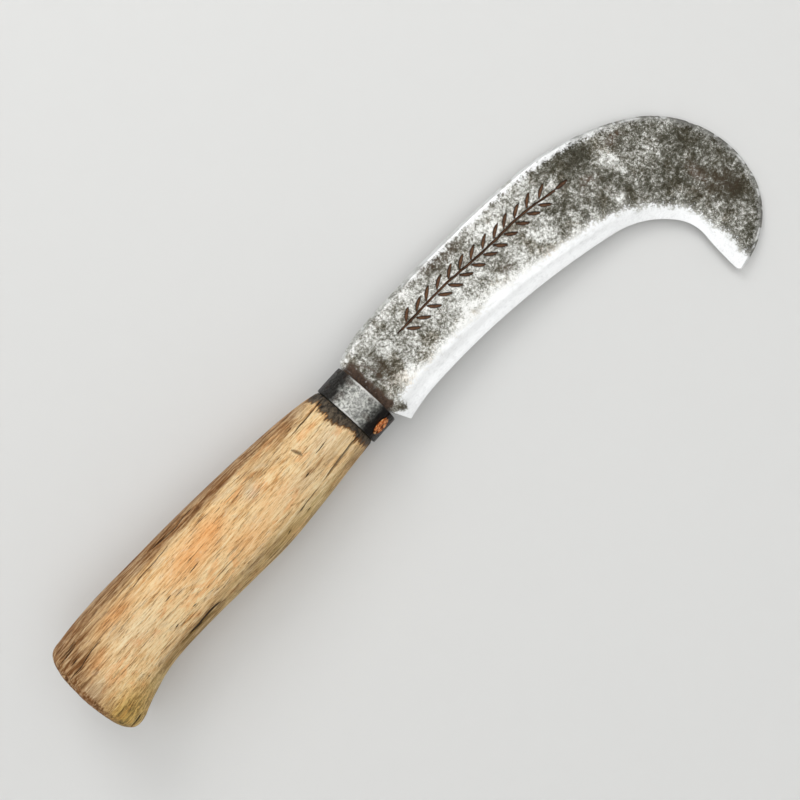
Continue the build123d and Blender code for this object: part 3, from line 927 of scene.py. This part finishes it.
visible_cracks = [
    ([(-37, -10.3), (-31, -9.8), (-24, -9.2), (-17, -8.7), (-12.3, -8.5)], 0.55, 6.0, 1.6),
    ([(-52, -11.3), (-44, -10.9), (-37, -10.4)], 0.22, 5.0, 0.6),
    ([(-33, 10.2), (-27, 10.6), (-21, 10.9), (-12.3, 11)], 0.42, 7.0, 1.1),
    ([(-31, -1.1), (-27, -0.9), (-23.5, -0.6)], 0.2, 3.0, 0.4),
    ([(-101, 21.4), (-97, 21.1), (-92, 20.3), (-86, 19.9), (-80, 20.4), (-74, 19.6)], 0.45, 5.0, 0.8),
    ([(-150, 16.7), (-146, 17.1), (-141, 17.6)], 0.35, 3.0, 0.7),
    ([(-149, 18.0), (-145, 18.2), (-140, 18.6)], 0.28, 3.0, 0.5),
    ([(-148, 13.2), (-144, 13.6)], 0.3, 2.0, 0.5),
    ([(-152, 10.1), (-146, 10.4), (-140, 11.3), (-133, 11.8)], 0.2, 3.0, 0.4),
    ([(-153, -18.4), (-149, -18.6), (-144, -18.0)], 0.5, 3.0, 0.6),
    ([(-108, 3.4), (-104, 3.6)], 0.25, 2.0, 0.35),
    ([(-113, -5.9), (-110.5, -5.8)], 0.35, 1.5, 0.4),
    ([(-103, -5.4), (-100.5, -5.6)], 0.3, 1.5, 0.35),
    ([(-95, 3.9), (-88, 4.1)], 0.22, 3.0, 0.3),
    ([(-112, -11.4), (-106, -11.7), (-100, -11.4), (-94, -12.2)], 0.5, 3.0, 0.4),
    ([(-51, -11.4), (-47, -11.2)], 0.35, 1.5, 0.5),
    ([(-60, -13.8), (-57, -13.6)], 0.35, 1.5, 0.5),
    ([(-49, -13.6), (-46, -13.3)], 0.3, 1.5, 0.5),
    ([(-39.5, -4.4), (-37, -4.2)], 0.35, 1.2, 0.45),
    ([(-113, 16.2), (-106, 16.5), (-98, 16.7), (-91, 17.2)], 0.18, 4.0, 0.3),
]
crack, depth = np.zeros(len(spots)), np.zeros(len(spots))
for line, width, fade, deep_by in visible_cracks:
    found = streak(spots, line, width, fade)
    crack, depth = np.maximum(crack, found), np.maximum(depth, found * deep_by)
nick_line = streak(spots, [(-35.6, 6.9), (-34.9, 5.2), (-34.2, 3.0), (-34.4, 1.6)], 0.85, 2.0)
crack, depth = np.maximum(crack, nick_line * 0.7), np.maximum(depth, nick_line * 0.5)

# the same kind of short splits on the sides that the view from above doesn't show
chance = np.random.default_rng(5)
limits = ((BUTT_X + 4, SHOULDER_X - 2), (radians(195), radians(345)), (4, 17), (0.12, 0.34), (0.2, 0.6))
hidden = [[chance.uniform(*pair) for pair in limits] for _ in range(46)]
hidden += [(-18, radians(232), 16, 0.42, 1.0), (-17, radians(308), 13, 0.36, 0.9),
           (-150, radians(282), 12, 0.3, 0.7)]
around_angle = np.arctan2(z, y) % (2 * pi)
from_axis = np.hypot(y, z)
for place, turn, long, wide, deep_by in hidden:
    away = np.abs(x - place)
    sideways = ((around_angle - turn + pi) % (2 * pi) - pi) * from_axis + 0.5 * np.sin((x - place) / 6.0)
    now = wide * step(1, 0.35, away / long * 2) + 1e-3
    found = (1 - step(0.3, 1.0, np.abs(sideways) / now)) * (away < long / 2)
    crack, depth = np.maximum(crack, found), np.maximum(depth, found * deep_by)

# grain stands in fine ridges, stronger where the wood is weathered
upper_edge = step(14.5, 20.0, y + 0.02 * (x + 80) + 1.6 * noise(spots, (26, 3, 3), 4.2))
lower_edge = step(-8.0, -14.5, y + 1.4 * noise(spots, (20, 3, 3), 8.4))
tongues = (1.3 * noise(spots, (9, 0.55, 0.55), 3.0) + 1.0 * noise(spots, (7, 1.3, 1.3), 5.0)
           + 1.5 * noise(spots, (9, 4.7, 4.7), 8.0))
scorch = step(-18.6, -12.9, x + tongues)
fibre = noise(spots, (26, 0.9, 0.9), 1.2)
wide_grain = noise(spots, (48, 2.8, 2.8), 6.5)
lumpy = noise(spots, (34, 13, 13), 9.1)
weather = np.clip(0.45 + 0.5 * step(BUTT_X + 26, BUTT_X + 8, x) + 0.4 * upper_edge + 0.5 * scorch, 0, 1.4)
sink = 0.10 * weather * (0.5 - 0.5 * fibre) + 0.10 * (0.5 + 0.5 * wide_grain) + 0.22 * (0.5 + 0.5 * lumpy)
sink += (depth + 0.35 * scorch * step(-13.4, -12.4, x)
         + 0.25 * scorch * step(0.1, 0.8, noise(spots, (4, 1.6, 1.6), 5.5)))
butt_side = step(BUTT_X + 4.5, BUTT_X + 2.5, x)
sink += butt_side * (0.10 * (0.5 + 0.5 * np.sin(np.hypot(y - 6, z + 24) * 3.1 + 2.0 * noise(spots, 6.0, 1.5))))
sink += 0.30 * step(0.2, 0.8, noise(spots, (3.4, 1.6, 1.6), 12.0)) * np.exp(-((x - BUTT_X - 3.5) / 2.5) ** 2)

# closed inside: the recess for the rove, a hole for the tang and the spigot in the ferrule
SPIGOT, HOLE_ROWS, HOLE_FALL = BORE - 0.1, 12, 0.98
angle = circle(turns)


def tang_ring(place, fall):
    """A ring on the walls of the tang's hole."""
    half_width, half_thick = tang_half(fall)
    return ring(place, box_reach(half_width + TANG_PLAY, half_thick + TANG_PLAY, angle), angle)


hole_places = np.linspace(ROVE_SEAT, 0, HOLE_ROWS)
inside = [ring(ROVE_SEAT, reach, angle) for reach in (RECESS_RADIUS, RECESS_STEP)]
inside += [tang_ring(place, fall) for place, fall in zip(hole_places, np.linspace(HOLE_FALL, 0, HOLE_ROWS))]
inside += [ring(place, SPIGOT, angle) for place in np.linspace(0, SHOULDER_X, 5)]
handle_points = np.vstack([spots + inward * sink[:, None]] + inside)
handle_faces = quads(outside_rows + len(inside), turns, closed_rows=True, closed_columns=True)

seen = step(-1, 3, z)
under = step(0.5, -6, z)
# Darker along the upper side, along both edges and at the lower edge of the narrow waist: partly grime, partly
# painted shade where the round grip turns away from the light. Also darker underneath, round the butt's rim, over
# its end and in loose patches.
dirt = np.clip(0.95 * upper_edge + 0.35 * np.exp(-((x + 155) / 2.5) ** 2) + 0.4 * under + 0.8 * butt_side
               + 0.25 * step(0.2, 0.8, noise(spots, (30, 5, 5), 2.2))
               + seen * ovals(spots, (-148, 13, 11, 6.5, 0.95), (-152, 1, 10, 12, 0.62),
                              (-112, -12.6, 17, 2.4, 1.1, 2), (-30, 13.5, 14, 2.4, 0.6),
                              (-50, 12, 9, 3, 0.4, -8), (-62, -13.4, 12, 1.4, 0.5),
                              (-24, -13, 9, 1.6, 0.6), (-68, -12.3, 18, 2.6, 0.3)), 0, 1)
olive = np.clip(lower_edge * (0.35 + 0.4 * step(-20, -45, x))
                + seen * ovals(spots, (-149, -13, 11, 6, 0.25)), 0, 1)
orange = np.clip(0.35 * under * (0.5 + 0.5 * noise(spots, (40, 9, 9), 7.0)) + seen * ovals(
    spots, (-89, 8, 15, 6, 0.9), (-124, 14, 10, 3, 0.8), (-70, -4, 9, 4, 0.5), (-77, 9, 6, 4, 0.5),
    (-141, 7, 5, 3, 0.7), (-52, -1, 9, 5, 0.3), (-57, -15, 6, 2, 0.6)), 0, 1)
grey = np.clip(seen * ovals(spots, (-151, 0.5, 7, 4, 0.6), (-57, 7, 3.5, 3, 0.8), (-24, 0, 9, 4.5, 0.6),
                            (-122, 3, 13, 6, 0.35), (-45, -4, 10, 4, 0.3)), 0, 1)
yellow = np.clip(seen * ovals(spots, (-149, -14, 12, 7, 1.0)), 0, 1)
piece(
    "wooden_grip", handle_points, handle_faces, wood_paint(), "handle", "handle_wood", sharp=60,
    **padded(
        len(handle_points), dirt=(dirt, 0.9), char=(scorch, 0.8), crack=(np.clip(crack, 0, 1), 0),
        orange=(orange, 0), olive=(olive, 0), grey=(grey, 0), yellow=(yellow, 0),
    ),
)

# ---- The rove, an iron washer let into the butt

ROVE_RADIUS, ROVE_HOLE = 8.5, (3.4, 1.8)


def rove_disc():
    """The washer as rows round it, from its hole over the face and the rim to the hole again."""
    turns, rim = 160, 0.35
    angle = circle(turns)
    hole = box_reach(*ROVE_HOLE, angle)
    reach = ROVE_RADIUS - 0.12 * (0.5 + 0.5 * np.sin(angle * 5 + 0.6))
    rows = [(ROVE_FACE, hole + (reach - rim - hole) * t) for t in np.linspace(0, 1, 22)]
    rows += [(ROVE_FACE + rim - rim * cos(b), reach - rim + rim * sin(b)) for b in np.linspace(0, pi / 2, 5)[1:]]
    rows += [(ROVE_SEAT, reach), (ROVE_SEAT, (reach + hole) / 2), (ROVE_SEAT, hole)]
    points = np.concatenate([ring(x, r, angle) for x, r in rows])
    sink = 0.10 * (0.5 + 0.5 * noise(points, 3.0, 2.0)) + 0.08 * step(0.1, 0.6, noise(points, 1.0, 4.0))
    points[:, 0] += sink * (points[:, 0] < ROVE_FACE + 0.5)
    return points, turned(quads(len(rows), turns, closed_rows=True, closed_columns=True))


disc_points, disc_faces = rove_disc()
piece(
    "tang_washer", disc_points, disc_faces, iron_paint("rove_iron", srgb(44, 36, 31), srgb(120, 108, 98)),
    "tang_rove", "rove_iron", sharp=50,
    worn=0.25 * step(0.2, 0.7, noise(disc_points, 2.0, 8.0)),
    rust=np.clip(0.45 + 0.5 * noise(disc_points, 2.6, 9.0), 0, 1),
    soot=0.4 * step(0.0, 0.7, noise(disc_points, 3.5, 6.0)),
)

# ---- Floor, light and camera

SWEEP_RADIUS, SWEEP_BEND, SWEEP_HEIGHT = 5.0, 2.0, 6.0
FLOOR_TONE, AIR_TONE, AIR_STRENGTH = (0.72, 0.72, 0.71), (0.86, 0.87, 0.88), 0.34
VIEW_PLACE, HALF_VIEW = (0.00015, 0.01477, 0.540), radians(32.72 / 2)
IMAGE_RIGHT = Vector((0.669, -0.743, 0)).normalized()
IMAGE_UP = Vector((-IMAGE_RIGHT.y, IMAGE_RIGHT.x, 0))


def studio_sweep():
    """The floor, which curves up into a round wall far from the tool."""
    turns = 160
    bend = np.linspace(0, pi / 2, 24)
    profile = [(r, 0.0) for r in np.linspace(0.4, SWEEP_RADIUS - SWEEP_BEND, 6)[:-1]]
    profile += [(SWEEP_RADIUS - SWEEP_BEND * (1 - sin(b)), SWEEP_BEND * (1 - cos(b))) for b in bend]
    profile += [(SWEEP_RADIUS, z) for z in np.linspace(SWEEP_BEND, SWEEP_HEIGHT, 5)[1:]]
    points = [(r * cos(a), r * sin(a), z) for r, z in profile for a in circle(turns)]
    return points, [list(range(turns))] + quads(len(profile), turns, closed_columns=True)


floor_points, floor_faces = studio_sweep()
floor_mesh = bpy.data.meshes.new("floor")
floor_mesh.from_pydata(floor_points, [], floor_faces)
floor_mesh.polygons.foreach_set("use_smooth", np.ones(len(floor_faces), bool))
floor_mesh.materials.append(
    Paint("pale_floor").finish(Base_Color=FLOOR_TONE, Roughness=0.9, Specular_IOR_Level=0.1))
floor = placed("floor", floor_mesh)

scene = bpy.context.scene
scene.world = bpy.data.worlds.new("studio")
scene.world.use_nodes = True
air = scene.world.node_tree.nodes["Background"].inputs
air["Color"].default_value = (*AIR_TONE, 1)
air["Strength"].default_value = AIR_STRENGTH


def soft_box(name, place, size, power):
    """A square lamp that faces the middle of the floor."""
    lamp = bpy.data.lights.new(name, "AREA")
    lamp.shape, lamp.size, lamp.energy = "SQUARE", size, power
    made = placed(name, lamp)
    made.location = place
    made.rotation_euler = (Vector() - place).to_track_quat("-Z", "Y").to_euler()


soft_box("overhead_box", Vector((0, 0, 8.4)), size=16.1, power=857.0)
soft_box("key_box", IMAGE_UP * 0.75 - IMAGE_RIGHT * 0.35 + Vector((0, 0, 0.7)), size=0.5, power=3.0)

camera_data = bpy.data.cameras.new("camera")
camera_data.sensor_width = 36
camera_data.lens = camera_data.sensor_width / 2 / tan(HALF_VIEW)
camera_data.clip_start = 0.01
camera = placed("camera", camera_data)
turn = Matrix((IMAGE_RIGHT, IMAGE_UP, Vector((0, 0, 1)))).transposed()
camera.matrix_world = Matrix.Translation(VIEW_PLACE) @ turn.to_4x4()
scene.camera = camera
scene.view_settings.view_transform = "Standard"
